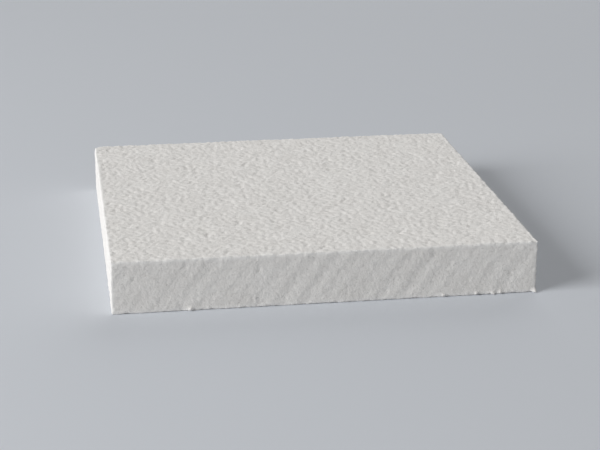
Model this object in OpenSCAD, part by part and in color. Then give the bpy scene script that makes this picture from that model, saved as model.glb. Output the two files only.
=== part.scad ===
// Ceramic fiber board: one square slab of vacuum-formed fiber, sawn to size on all four edges.
// It lies flat. X runs along the length, Y along the width and Z up through the thickness,
// with the origin at the middle of the underside.

/* [Board] */
// Length of the slab, along X
board_length = 200; // [120:1:300]
// Width of the slab, along Y
board_width = 198; // [120:1:300]
// Thickness between the two formed faces
board_thickness = 25.4; // [12:0.1:50]

/* [Worn arrises] */
// Radius that the crumbled arris is rubbed down to, on every edge of the slab
arris_radius = 0.8; // [0.3:0.1:3]

/* [Saw marks] */
// Radius of the saw blade that left the arched marks
blade_radius = 92; // [80:1:160]
// How far the blade stood up past the upper face of the slab
blade_clear = 25; // [5:1:40]
// Average distance between two marks along an edge
mark_pitch = 9.5; // [9:0.5:20]
// How far a mark strays from its even place
mark_stray = 1.3; // [0:0.1:2]
// Width of a mark
mark_width = 6.4; // [2:0.1:6.8]
// Depth of the deepest marks
mark_depth = 0.25; // [0.05:0.01:0.5]
// Share of that depth that the faintest marks keep
faint_share = 0.3; // [0.2:0.05:1]

/* [Hidden] */
$fn = 96;

// Two waves along the count of the marks set how a mark strays and how deep it is:
// the angle of each at mark 0, and its turn from one mark to the next
stray_start = 125;
stray_turn = 63;
depth_start = 140;
depth_turn = 33;
// Even place of mark 0, from the middle of its edge
mark_start = -mark_pitch / 3;
// How far a groove is drawn past the two arrises, so that it crosses the whole edge
mark_overrun = 2;
// How far a groove is drawn out past the sawn face that it is cut into
mark_proud = 0.1;
// How far the blade's axle lies below the underside
axle_drop = blade_radius - blade_clear - board_thickness;

// The blade's rim at height z: how far it lies from the axle along the edge, and its angle about the axle
function rim_reach(z) = sqrt(pow(blade_radius, 2) - pow(axle_drop + z, 2));
function rim_angle(z) = asin((axle_drop + z) / blade_radius);

// One mark: its place along the edge, its depth, and the radius of its round bottom
function mark_place(i) = mark_start + i * mark_pitch + mark_stray * sin(stray_start + i * stray_turn);
function depth_wave(i) = pow(sin(depth_start + i * depth_turn), 2);
function depth_of(i) = mark_depth * (faint_share + (1 - faint_share) * depth_wave(i));
function bottom_radius(depth) = (pow(mark_width / 2, 2) + pow(depth, 2)) / (2 * depth);

// Rectangle about the origin whose corners are rounded to the worn arris
module worn_rectangle(size_x, size_y) {
    square([size_x - 2 * arris_radius, size_y], center = true);
    square([size_x, size_y - 2 * arris_radius], center = true);
    for (side_x = [-1, 1], side_y = [-1, 1])
        translate([side_x * (size_x / 2 - arris_radius), side_y * (size_y / 2 - arris_radius)])
            circle(r = arris_radius);
}

// The slab with all twelve arrises worn: its plan, side and end outlines, each drawn right through
module worn_slab() {
    translate([0, 0, board_thickness / 2])
        intersection() {
            linear_extrude(board_thickness, center = true)
                worn_rectangle(board_length, board_width);
            rotate([90, 0, 0])
                linear_extrude(board_width, center = true)
                    worn_rectangle(board_length, board_thickness);
            rotate([90, 0, 90])
                linear_extrude(board_length, center = true)
                    worn_rectangle(board_width, board_thickness);
        }
}

// Section of a groove at the blade's rim: round at the bottom, and flat just outside the sawn face
module groove_section(depth) {
    translate([blade_radius, 0])
        intersection() {
            translate([0, bottom_radius(depth) - depth])
                circle(r = bottom_radius(depth));
            translate([-mark_width, -depth - mark_proud])
                square([2 * mark_width, depth + 2 * mark_proud]);
        }
}

// One arched groove in a face at y = 0, whose lower end is at x = 0
module blade_mark(depth) {
    low = rim_angle(-mark_overrun);
    high = rim_angle(board_thickness + mark_overrun);
    translate([rim_reach(0), 0, -axle_drop])
        rotate([90, high - 180, 0])
            rotate_extrude(angle = high - low)
                groove_section(depth);
}

// The marks of one pass of the saw along an edge that faces -Y
module saw_pass(edge_length) {
    lean = rim_reach(0) - rim_reach(board_thickness);
    first = ceil(-(edge_length / 2 + lean) / mark_pitch) + 1;
    last = floor(edge_length / 2 / mark_pitch) - 1;
    for (i = [first : last])
        translate([mark_place(i), 0, 0])
            blade_mark(depth_of(i));
}

module board() {
    color("whitesmoke")
        difference() {
            worn_slab();
            for (turn = [0, 180])
                rotate([0, 0, turn]) {
                    translate([0, -board_width / 2, 0])
                        saw_pass(board_length);
                    rotate([0, 0, 90])
                        translate([0, -board_length / 2, 0])
                            saw_pass(board_width);
                }
        }
}

board();
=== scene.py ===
import math
import bpy
import numpy as np
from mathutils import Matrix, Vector


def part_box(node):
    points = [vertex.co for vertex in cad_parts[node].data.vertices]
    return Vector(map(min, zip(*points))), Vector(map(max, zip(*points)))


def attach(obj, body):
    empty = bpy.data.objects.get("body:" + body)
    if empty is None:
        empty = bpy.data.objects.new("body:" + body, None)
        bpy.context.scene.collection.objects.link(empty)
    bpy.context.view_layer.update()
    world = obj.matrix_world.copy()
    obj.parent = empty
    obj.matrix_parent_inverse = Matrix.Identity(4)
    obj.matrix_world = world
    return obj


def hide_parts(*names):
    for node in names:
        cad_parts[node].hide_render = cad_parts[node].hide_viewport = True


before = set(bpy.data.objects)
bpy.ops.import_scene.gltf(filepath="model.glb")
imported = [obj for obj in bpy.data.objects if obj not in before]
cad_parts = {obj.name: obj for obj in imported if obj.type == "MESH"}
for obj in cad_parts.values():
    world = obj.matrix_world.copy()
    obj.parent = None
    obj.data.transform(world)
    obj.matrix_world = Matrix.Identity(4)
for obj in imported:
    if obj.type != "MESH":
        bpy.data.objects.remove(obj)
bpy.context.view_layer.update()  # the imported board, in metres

mm = 0.001
low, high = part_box("board")
size = high - low
print("frame loaded: board of %.1f x %.1f x %.1f mm" % tuple(size / mm))


# what a hand does in the viewport
def setMode(mode):
    bpy.ops.object.mode_set(mode=mode)


def pickNothing(kind):
    setMode("EDIT")
    bpy.ops.mesh.select_mode(type=kind)
    bpy.ops.mesh.select_all(action="DESELECT")
    setMode("OBJECT")


def pointsOf(piece):
    places = np.empty(len(piece.data.vertices) * 3)
    piece.data.vertices.foreach_get("co", places)
    return places.reshape(-1, 3)


def facesOf(piece):
    middles = np.empty(len(piece.data.polygons) * 3)
    piece.data.polygons.foreach_get("center", middles)
    return middles.reshape(-1, 3)


def trianglesOf(piece):
    piece.data.calc_loop_triangles()
    return len(piece.data.loop_triangles)


# picks the edges that run along an axis and are long enough to cut
def pickEdgesAlong(piece, axis, shortest, stray):
    pickNothing("EDGE")
    ends = np.empty(len(piece.data.edges) * 2, dtype=np.int32)
    piece.data.edges.foreach_get("vertices", ends)
    places = pointsOf(piece)
    run = np.abs(places[ends[1::2]] - places[ends[0::2]])
    strays = np.delete(run, axis, axis=1).max(axis=1)
    piece.data.edges.foreach_set("select", (strays < stray) & (run[:, axis] > shortest))
    setMode("EDIT")


def applyModifier(piece, kind, **settings):
    modifier = piece.modifiers.new(kind.lower(), kind)
    for name, value in settings.items():
        setattr(modifier, name, value)
    bpy.ops.object.modifier_apply(modifier=modifier.name)


faintestPaint = 0.002  # what is fainter than this is left unpainted


def paintGroup(piece, name, weights):
    group = piece.vertex_groups.new(name=name)
    for index in np.flatnonzero(weights > faintestPaint):
        group.add([int(index)], float(weights[index]), "REPLACE")


# displaces a painted group by a legacy texture
def roughen(piece, layer):
    texture = bpy.data.textures.new(layer["name"], layer["kind"])
    texture.noise_scale = layer["grain"] * mm
    for name, value in layer["texture"].items():
        setattr(texture, name, value)
    applyModifier(piece, "DISPLACE", texture=texture, texture_coords="LOCAL", strength=layer["height"] * mm,
                  mid_level=layer["level"], vertex_group=layer["group"])


# moves the point nearest to a spot, and what lies within reach along with it
def pull(piece, spot, move, reach, fall):
    pickNothing("VERT")
    gaps = ((pointsOf(piece) - np.array(spot)) ** 2).sum(axis=1)
    piece.data.vertices[int(np.argmin(gaps))].select = True
    setMode("EDIT")
    bpy.ops.transform.translate(value=move, use_proportional_edit=True, proportional_size=reach,
                                proportional_edit_falloff=fall)
    setMode("OBJECT")


# from 0 at no distance up to 1 at the end of the reach
def easeIn(distance, reach):
    share = np.clip(distance / reach, 0, 1)
    return share * share * (3 - 2 * share)


# how far a place lies from the ends, the sides and the formed faces, and from the nearest arris
def distancesOf(places):
    toEnds = size.x / 2 - np.abs(places[:, 0])
    toSides = size.y / 2 - np.abs(places[:, 1])
    toFaces = np.minimum(places[:, 2], size.z - places[:, 2])
    toArris = np.sort(np.stack([toEnds, toSides, toFaces]), axis=0)[1]
    return toEnds, toSides, toFaces, toArris


# how far along its edge a place lies from the edge's middle, the way the saw went
def alongEdge(places):
    toEnds, toSides = distancesOf(places)[:2]
    alongSide = -np.sign(places[:, 1]) * places[:, 0]
    alongEnd = np.sign(places[:, 0]) * places[:, 1]
    return np.where(toSides < toEnds, alongSide, alongEnd)


# the board: one slab, gridded finely and wrapped onto the solid, so every saw mark stays where it is
slab = {
    "name": "fibre_board",
    "arris": 0.8 * mm,                    # worn round on all twelve edges, as on the solid
    "arrisSteps": 3,
    "cuts": ((10, 24), (10, 24), (33,)),  # passes of cuts along X, Y and Z, which end about 0.7 mm apart
    "cutShortest": 0.4 * mm,              # shorter edges cross an arris and stay whole
    "cutStray": 0.008 * mm,               # an edge that strays less than this runs along its axis

    # where each face begins, and how far in it is worn
    "skin": 0.35 * mm,                    # a point this near a formed face belongs to it
    "fade": 1.8 * mm,                     # relief dies away this close to an arris
    "arrisKeep": 0.5,                     # what is left of the upper face's relief on its arrises
    "crumb": 2.4 * mm,                    # an arris crumbles this far in
    "runIn": 90 * mm,                     # the saw marks are fainter up to here from the start of an edge
    "rubStrength": 0.5,                   # of each pass in the next two lines
    "markRub": 12,                        # passes that rub the saw marks soft
    "runInRub": 24,                       # more passes where the blade runs in

    # layers of relief: grain is the size of a lump, height how far it stands out, both in mm,
    # and level is the grey of the texture that moves nothing
    "relief": (
        {"name": "swell", "group": "upper", "kind": "CLOUDS", "grain": 15, "height": 0.30, "level": 0.5,
         "texture": {"noise_depth": 1}},
        {"name": "clumps", "group": "upper", "kind": "CLOUDS", "grain": 4.0, "height": 0.26, "level": 0.5,
         "texture": {"noise_depth": 1}},
        {"name": "pebbles", "group": "upper", "kind": "VORONOI", "grain": 2.1, "height": -0.72, "level": 0.25,
         "texture": {"distance_metric": "DISTANCE_SQUARED"}},
        {"name": "underside", "group": "under", "kind": "CLOUDS", "grain": 3.4, "height": 0.35, "level": 1.0,
         "texture": {}},
        {"name": "chatter", "group": "sawn", "kind": "CLOUDS", "grain": 1.7, "height": 0.55, "level": 0.5,
         "texture": {"noise_depth": 2}},
        {"name": "drift", "group": "sawn", "kind": "CLOUDS", "grain": 9, "height": 0.10, "level": 0.5,
         "texture": {"noise_depth": 1}},
        {"name": "chips", "group": "crumbly", "kind": "CLOUDS", "grain": 4.5, "height": -0.22, "level": 0.0,
         "texture": {"noise_depth": 2, "contrast": 3.0, "intensity": 0.75}},
        {"name": "crumbs", "group": "crumbly", "kind": "CLOUDS", "grain": 1.3, "height": 0.72, "level": 0.5,
         "texture": {"noise_depth": 2}},
    ),

    # beads of unspun fibre that stand up out of the upper face
    "beadCount": 150,
    "beadSeed": 7,
    "beadAcross": (1.6 * mm, 2.8 * mm),
    "beadHeight": 0.35 * mm,              # of the tallest
    "beadShares": (0.4, 1.0),             # of that height, from the lowest bead to the tallest

    # single knocks: each spot has a place and a move, and reach is how far around it is moved along, in mm
    "knocks": (
        {"name": "nibs on the front lower arris", "reach": 1.7, "fall": "SHARP", "spots": (
            ((-64, -99, 0.8), (0.1, -1.4, 0.1)),
            ((55, -99, 0.7), (0.1, -0.8, 0.1)),
            ((71, -99, 0.7), (-0.1, -1.2, 0.1)),
            ((79, -99, 0.6), (0.2, -1.5, 0.0)),
            ((82.5, -99, 0.7), (0.0, -1.1, 0.2)),
        )},
        {"name": "spur on the front right corner", "reach": 2.2, "fall": "SHARP", "spots": (
            ((99.4, -99, 0.5), (0.4, -2.2, 0.0)),
        )},
        {"name": "crumbs on the front upper arris", "reach": 1.3, "fall": "SHARP", "spots": (
            ((-38, -98.8, 25.2), (0.1, -0.3, 0.4)),
            ((14, -98.8, 25.2), (-0.1, -0.2, 0.4)),
            ((72, -98.8, 25.2), (-0.1, -0.3, 0.5)),
            ((96.5, -98.7, 25.2), (0.1, -0.4, 0.5)),
        )},
        {"name": "pits in the front edge", "reach": 1.5, "fall": "SMOOTH", "spots": (
            ((-89.5, -99, 16.5), (0, 0.4, 0)),
            ((-66, -99, 22), (0, 0.4, 0)),
            ((-56.5, -99, 21), (0, 0.4, 0)),
            ((-32, -99, 18), (0, 0.45, 0)),
            ((50, -99, 21), (0, 0.4, 0)),
            ((87, -99, 10.5), (0, 0.5, 0)),
        )},
        {"name": "pits and creases in the upper face", "reach": 2.4, "fall": "SMOOTH", "spots": (
            ((-91, -80, 25.4), (0.2, 0, -0.55)),
            ((6.5, 8, 25.4), (0, 0, -0.5)),
            ((5.5, 4, 25.4), (0, 0, -0.4)),
            ((60, 31, 25.4), (0, 0, -0.6)),
            ((62, 60, 25.4), (0, 0, -0.55)),
            ((-80, 12, 25.4), (0, 0, -0.45)),
            ((10.5, -38, 25.4), (0, 0, -0.5)),
        )},
        {"name": "blunt rear left corner", "reach": 3.0, "fall": "SMOOTH", "spots": (
            ((-100, 99, 25.4), (0.7, -0.7, -0.4)),
        )},
    ),

    "underSkin": 0.7 * mm,                # faces this near the floor belong to the underside
    "underShare": 0.2,                    # what the hidden underside is thinned to
    "triangles": 194000,                  # what the whole board is thinned to after that
    "bladeRadius": 92 * mm,               # as on the solid
    "bladeClear": 25 * mm,                # how far the blade stood up past the upper face
}

bpy.ops.object.select_all(action="DESELECT")
bpy.ops.mesh.primitive_cube_add(size=1)
board = bpy.context.object
board.name = slab["name"]
board.data.name = slab["name"]
setMode("EDIT")
bpy.ops.mesh.select_all(action="SELECT")
bpy.ops.transform.resize(value=size)
bpy.ops.transform.translate(value=(low + high) / 2)
bpy.ops.mesh.bevel(offset=slab["arris"], segments=slab["arrisSteps"], affect="EDGES")
setMode("OBJECT")
for axis, passes in enumerate(slab["cuts"]):
    for cuts in passes:
        pickEdgesAlong(board, axis, slab["cutShortest"], slab["cutStray"])
        bpy.ops.mesh.subdivide(number_cuts=cuts)
        setMode("OBJECT")
applyModifier(board, "SHRINKWRAP", target=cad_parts["board"])
print("slab gridded and wrapped: %d faces" % len(board.data.polygons))

# paint where each kind of surface is
places = pointsOf(board)
toFaces, toArris = distancesOf(places)[2:]
onFormed = toFaces < slab["skin"]
onTop = places[:, 2] > size.z / 2
inFromArris = easeIn(toArris, slab["fade"])
runIn = 1 - easeIn(alongEdge(places) + size.x / 2, slab["runIn"])
paintGroup(board, "upper", onFormed * onTop * (slab["arrisKeep"] + (1 - slab["arrisKeep"]) * inFromArris))
paintGroup(board, "under", onFormed * ~onTop * inFromArris)
paintGroup(board, "sawn", ~onFormed * inFromArris)
paintGroup(board, "runIn", ~onFormed * inFromArris * runIn)
paintGroup(board, "crumbly", 1 - easeIn(toArris, slab["crumb"]))

applyModifier(board, "SMOOTH", factor=slab["rubStrength"], iterations=slab["markRub"], vertex_group="sawn")
applyModifier(board, "SMOOTH", factor=slab["rubStrength"], iterations=slab["runInRub"], vertex_group="runIn")
for layer in slab["relief"]:
    roughen(board, layer)
print("relief pressed into the faces, arrises crumbled")

# scatter the beads by weight paint
scatter = np.random.default_rng(slab["beadSeed"])
spots = scatter.uniform(-0.5, 0.5, (slab["beadCount"], 2)) * np.array(size[:2])
radii = scatter.uniform(*slab["beadAcross"], slab["beadCount"]) / 2
shares = scatter.uniform(*slab["beadShares"], slab["beadCount"])
places = pointsOf(board)
swelling = np.zeros(len(places))
for spot, radius, share in zip(spots, radii, shares):
    gaps = np.hypot(places[:, 0] - spot[0], places[:, 1] - spot[1])
    swelling = np.maximum(swelling, share * easeIn(radius - gaps, radius))
paintGroup(board, "beads", swelling * onFormed * onTop * inFromArris)
applyModifier(board, "DISPLACE", strength=slab["beadHeight"], mid_level=0.0, vertex_group="beads")
print("beads raised")

for knock in slab["knocks"]:
    for spot, move in knock["spots"]:
        pull(board, Vector(spot) * mm, Vector(move) * mm, knock["reach"] * mm, knock["fall"])
    print("made the " + knock["name"])

# what stands out below is pressed flat, since the board lies on it
pickNothing("VERT")
board.data.vertices.foreach_set("select", pointsOf(board)[:, 2] < 0)
setMode("EDIT")
bpy.ops.transform.resize(value=(1, 1, 0), center_override=(0, 0, 0))
setMode("OBJECT")

# thin the underside, which nobody sees, and then the whole
pickNothing("FACE")
middles = facesOf(board)
onUnder = (middles[:, 2] < slab["underSkin"]) & (distancesOf(middles)[3] > slab["crumb"])
board.data.polygons.foreach_set("select", onUnder)
setMode("EDIT")
bpy.ops.mesh.decimate(ratio=slab["underShare"])
setMode("OBJECT")
print("underside thinned: %d triangles in all" % trianglesOf(board))
applyModifier(board, "DECIMATE", ratio=slab["triangles"] / trianglesOf(board))
bpy.ops.object.shade_smooth()
print("board thinned to %d triangles" % trianglesOf(board))

# three numbers on every point for the material
places = pointsOf(board)
toFaces, toArris = distancesOf(places)[2:]
axleDrop = slab["bladeRadius"] - slab["bladeClear"] - size.z
aboveAxle = axleDrop + np.clip(places[:, 2], 0, size.z)
rimReach = np.sqrt(slab["bladeRadius"] ** 2 - aboveAxle ** 2)
pointNumbers = {
    "sawPath": alongEdge(places) + rimReach,            # the same all along one arc of the blade
    "sawnShare": easeIn(toFaces, slab["fade"]),         # 0 on the formed faces, 1 on the sawn edges
    "arrisShare": 1 - easeIn(toArris, slab["crumb"]),    # 1 on an arris
}
for name, values in pointNumbers.items():
    board.data.attributes.new(name, "FLOAT", "POINT").data.foreach_set("value", values.astype(np.float32))
print("points numbered for the material")


# sRGB hex to linear light
def linear(hexCode):
    levels = [int(hexCode[i:i + 2], 16) / 255 for i in (1, 3, 5)]
    return [c / 12.92 if c <= 0.04045 else ((c + 0.055) / 1.055) ** 2.4 for c in levels] + [1.0]


def addNode(tree, kind, settings=None, links=None):
    node = tree.nodes.new(kind)
    for name, value in (settings or {}).items():
        if isinstance(name, int) or name in node.inputs:
            node.inputs[name].default_value = value
        else:
            setattr(node, name, value)
    for name, socket in (links or {}).items():
        tree.links.new(socket, node.inputs[name])
    return node


# alumina-silica fibre, vacuum-formed with a little binder: a dry, faintly warm white with no gloss at all,
# felted and knotty on the formed faces, combed by the blade and open with small pores on the sawn edges,
# with painted shade down in the pores, and dusted paler where an arris has crumbled, partly as a painted
# highlight
fibre = {
    "white": "#F3F1EE",
    "shade": "#E5E2DE",           # in clouds, and as painted shade down in the pores
    "dustAndHighlight": "#FDFCFA",            # crumb dust on the arrises, partly a painted highlight
    "cloudShade": 0.5,            # how far the clouds, and the painted shade in the pores and the sawn pores, each go towards the shade
    "porePaintedShade": 0.4,
    "sawnPorePaintedShade": 0.3,
    "dustAndHighlightCover": 1.3,             # how fully the pale dust, partly a painted highlight, hides what lies under it
    "ior": 1.55,                  # alumina-silica glass
    "roughness": 0.95,
    "diffuseRoughness": 0.5,
    "specular": 0.2,              # the fibres scatter nearly all the light, so little glints

    # sizes, in mm
    "mottle": 13.0,               # across a paler or darker cloud
    "felt": (5.0, 0.42),          # length and width of a fibre: far coarser than real ones, so that it shows
    "granule": 1.2,               # from one knot of fibre to the next
    "fuzz": 0.7,                  # across the grain between the fibres
    "pore": 1.6,                  # across the lumps between the pores
    "combing": 1.5,               # between the fine scratches of the blade

    # levels of the noises, from 0 to 1, between which a pattern sets in
    "cloudLevels": (0.35, 0.75),
    "poreLevels": (0.27, 0.40),
    "feltMiddle": 0.5,            # a fibre runs along this level
    "feltEdge": 0.09,             # and ends this far from it

    "feltAngles": (15, 78, 137),  # degrees
    "layering": 1.7,              # how much flatter than wide the pores are

    # heights, in mm: what has a minus sign is pressed in
    "feltHeight": 0.035,
    "granuleHeight": -0.10,
    "fuzzHeight": 0.16,
    "poreHeight": -0.05,
    "sawnPoreHeight": -0.08,
    "combingHeight": 0.03,
    "dustHeight": 0.20,
}


def vacuumFormedFibre():
    material = bpy.data.materials.new("vacuum-formed ceramic fibre")
    material.use_nodes = True
    tree = material.node_tree
    tree.nodes.clear()
    place = addNode(tree, "ShaderNodeTexCoord").outputs["Object"]
    path = addNode(tree, "ShaderNodeAttribute", {"attribute_name": "sawPath"}).outputs["Fac"]
    sawn = addNode(tree, "ShaderNodeAttribute", {"attribute_name": "sawnShare"}).outputs["Fac"]
    onArris = addNode(tree, "ShaderNodeAttribute", {"attribute_name": "arrisShare"}).outputs["Fac"]

    # felted fibres: noise drawn out long at three angles, with its middle level made into ridges
    length, width = fibre["felt"]
    felt = None
    for angle in fibre["feltAngles"]:
        turned = addNode(tree, "ShaderNodeMapping", {"Rotation": (0, 0, math.radians(angle))},
                         {"Vector": place}).outputs[0]
        drawn = addNode(tree, "ShaderNodeMapping",
                        {"Scale": (1 / (length * mm), 1 / (width * mm), 1 / (width * mm))},
                        {"Vector": turned}).outputs[0]
        noise = addNode(tree, "ShaderNodeTexNoise", {"Scale": 1.0, "Detail": 1.0},
                        {"Vector": drawn}).outputs["Fac"]
        level = addNode(tree, "ShaderNodeMath", {"operation": "SUBTRACT", 1: fibre["feltMiddle"]},
                        {0: noise}).outputs[0]
        level = addNode(tree, "ShaderNodeMath", {"operation": "ABSOLUTE"}, {0: level}).outputs[0]
        ridge = addNode(tree, "ShaderNodeMapRange",
                        {"From Max": fibre["feltEdge"], "To Min": 1.0, "To Max": 0.0},
                        {"Value": level}).outputs[0]
        if felt is None:
            felt = ridge
        else:
            felt = addNode(tree, "ShaderNodeMath", {"operation": "MAXIMUM"}, {0: felt, 1: ridge}).outputs[0]

    # fuzz between the fibres, and small knots of fibre
    fuzz = addNode(tree, "ShaderNodeTexNoise",
                   {"Scale": 1 / (fibre["fuzz"] * mm), "Detail": 4.0, "Roughness": 0.65},
                   {"Vector": place}).outputs["Fac"]
    granules = addNode(tree, "ShaderNodeTexVoronoi", {"Scale": 1 / (fibre["granule"] * mm)},
                       {"Vector": place}).outputs["Distance"]

    # pores: where a noise that lies flat in the layers of the felt runs low
    layers = addNode(tree, "ShaderNodeMapping", {"Scale": (1, 1, fibre["layering"])},
                     {"Vector": place}).outputs[0]
    hollows = addNode(tree, "ShaderNodeTexNoise",
                      {"Scale": 1 / (fibre["pore"] * mm), "Detail": 3.0, "Roughness": 0.6},
                      {"Vector": layers}).outputs["Fac"]
    deepest, shallowest = fibre["poreLevels"]
    pores = addNode(tree, "ShaderNodeMapRange",
                    {"From Min": deepest, "From Max": shallowest, "To Min": 1.0, "To Max": 0.0},
                    {"Value": hollows}).outputs[0]
    sawnPores = addNode(tree, "ShaderNodeMath", {"operation": "MULTIPLY"}, {0: pores, 1: sawn}).outputs[0]

    # combing: fine scratches along the blade's arcs, only where it was sawn
    combing = addNode(tree, "ShaderNodeTexNoise",
                      {"noise_dimensions": "1D", "Scale": 1 / (fibre["combing"] * mm), "Detail": 3.0,
                       "Roughness": 0.7}, {"W": path}).outputs["Fac"]
    combing = addNode(tree, "ShaderNodeMath", {"operation": "MULTIPLY"}, {0: combing, 1: sawn}).outputs[0]

    # dust and crumbs on the arrises, broken up by the fuzz; in the colour the paler dust is partly a painted
    # highlight
    dustAndHighlight = addNode(tree, "ShaderNodeMath", {"operation": "MULTIPLY"}, {0: fuzz, 1: onArris}).outputs[0]

    # all the heights together
    height = addNode(tree, "ShaderNodeMath", {"operation": "MULTIPLY", 1: fibre["fuzzHeight"]},
                     {0: fuzz}).outputs[0]
    for pattern, amount in ((felt, fibre["feltHeight"]), (granules, fibre["granuleHeight"]),
                            (pores, fibre["poreHeight"]), (sawnPores, fibre["sawnPoreHeight"]),
                            (combing, fibre["combingHeight"]), (dustAndHighlight, fibre["dustHeight"])):
        height = addNode(tree, "ShaderNodeMath", {"operation": "MULTIPLY_ADD", 1: amount},
                         {0: pattern, 2: height}).outputs[0]
    bump = addNode(tree, "ShaderNodeBump", {"Strength": 1.0, "Distance": mm}, {"Height": height})

    # colour: slow clouds, painted shade down in the pores, and paler crumb dust on the arrises that is partly
    # a painted highlight
    clouds = addNode(tree, "ShaderNodeTexNoise",
                     {"Scale": 1 / (fibre["mottle"] * mm), "Detail": 5.0, "Roughness": 0.6},
                     {"Vector": place}).outputs["Fac"]
    palest, darkest = fibre["cloudLevels"]
    darker = addNode(tree, "ShaderNodeMapRange",
                     {"From Min": palest, "From Max": darkest, "To Min": 0.0, "To Max": fibre["cloudShade"]},
                     {"Value": clouds}).outputs[0]
    # painted shade down in the pores and the sawn pores, which are only hollows in the same white fibre
    for pattern, amount in ((pores, fibre["porePaintedShade"]), (sawnPores, fibre["sawnPorePaintedShade"])):
        darker = addNode(tree, "ShaderNodeMath", {"operation": "MULTIPLY_ADD", 1: amount},
                         {0: pattern, 2: darker}).outputs[0]
    # paler dust on the arrises, partly a painted highlight along them
    cover = addNode(tree, "ShaderNodeMath",
                    {"operation": "MULTIPLY", 1: fibre["dustAndHighlightCover"], "use_clamp": True}, {0: dustAndHighlight}).outputs[0]

    # on a Mix node of colours, socket 0 is the share, 6 and 7 are the two colours and 2 is the result
    colour = addNode(tree, "ShaderNodeMix",
                     {"data_type": "RGBA", 6: linear(fibre["white"]), 7: linear(fibre["shade"])},
                     {0: darker}).outputs[2]
    colour = addNode(tree, "ShaderNodeMix", {"data_type": "RGBA", 7: linear(fibre["dustAndHighlight"])},
                     {0: cover, 6: colour}).outputs[2]
    surface = addNode(tree, "ShaderNodeBsdfPrincipled",
                      {"IOR": fibre["ior"], "Specular IOR Level": fibre["specular"],
                       "Roughness": fibre["roughness"], "Diffuse Roughness": fibre["diffuseRoughness"]},
                      {"Base Color": colour, "Normal": bump.outputs["Normal"]})
    addNode(tree, "ShaderNodeOutputMaterial", None, {"Surface": surface.outputs["BSDF"]})
    return material


board.data.materials.append(vacuumFormedFibre())
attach(board, "root")
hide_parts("board")
print("board dressed")

# the stage: a plain pale floor
floor = {
    "span": 30.0,
    "colour": "#D6DAE0",
    "roughness": 0.9,
}
bpy.ops.object.select_all(action="DESELECT")
bpy.ops.mesh.primitive_plane_add(size=floor["span"])
ground = bpy.context.object
ground.name = "floor"
paint = bpy.data.materials.new("matt floor paint")
paint.use_nodes = True
paintSurface = paint.node_tree.nodes["Principled BSDF"]
paintSurface.inputs["Base Color"].default_value = linear(floor["colour"])
paintSurface.inputs["Roughness"].default_value = floor["roughness"]
ground.data.materials.append(paint)
print("floor laid")


# sets a lamp or a camera in its place and turns it to what it looks at
def setUp(thing, place, aim):
    thing.location = place
    thing.rotation_euler = (Vector(aim) - Vector(place)).to_track_quat("-Z", "Y").to_euler()
    bpy.context.scene.collection.objects.link(thing)


# soft studio light: a wide panel from the left, a weak one from behind, and a pale room all round
studio = {
    "panels": (
        {"name": "panel", "place": (-2.050, -0.686, 1.041), "width": 1.40, "watts": 49.0},
        {"name": "fill", "place": (1.100, 2.200, 1.000), "width": 2.40, "watts": 19.0},
    ),
    "aim": (0.0, 0.0, 0.0),
    "room": "#FFFFFF",
    "roomStrength": 0.265,
}
for panel in studio["panels"]:
    light = bpy.data.lights.new(panel["name"], "AREA")
    light.shape = "SQUARE"
    light.size = panel["width"]
    light.energy = panel["watts"]
    setUp(bpy.data.objects.new(panel["name"], light), panel["place"], studio["aim"])
world = bpy.data.worlds.new("room")
world.use_nodes = True
world.node_tree.nodes["Background"].inputs["Color"].default_value = linear(studio["room"])
world.node_tree.nodes["Background"].inputs["Strength"].default_value = studio["roomStrength"]
bpy.context.scene.world = world
bpy.context.scene.view_settings.view_transform = "Standard"
print("lights set")

# the camera stands where the photograph was taken from, as seen from the board, and looks down on it
viewpoint = {
    "place": (-0.1221, -0.8133, 0.2773),
    "aim": (0.002, 0.0, 0.006),
    "lens": 100.0,
}
eye = bpy.data.cameras.new("camera")
eye.lens = viewpoint["lens"]
camera = bpy.data.objects.new("camera", eye)
setUp(camera, viewpoint["place"], viewpoint["aim"])
bpy.context.scene.camera = camera
print("camera placed")
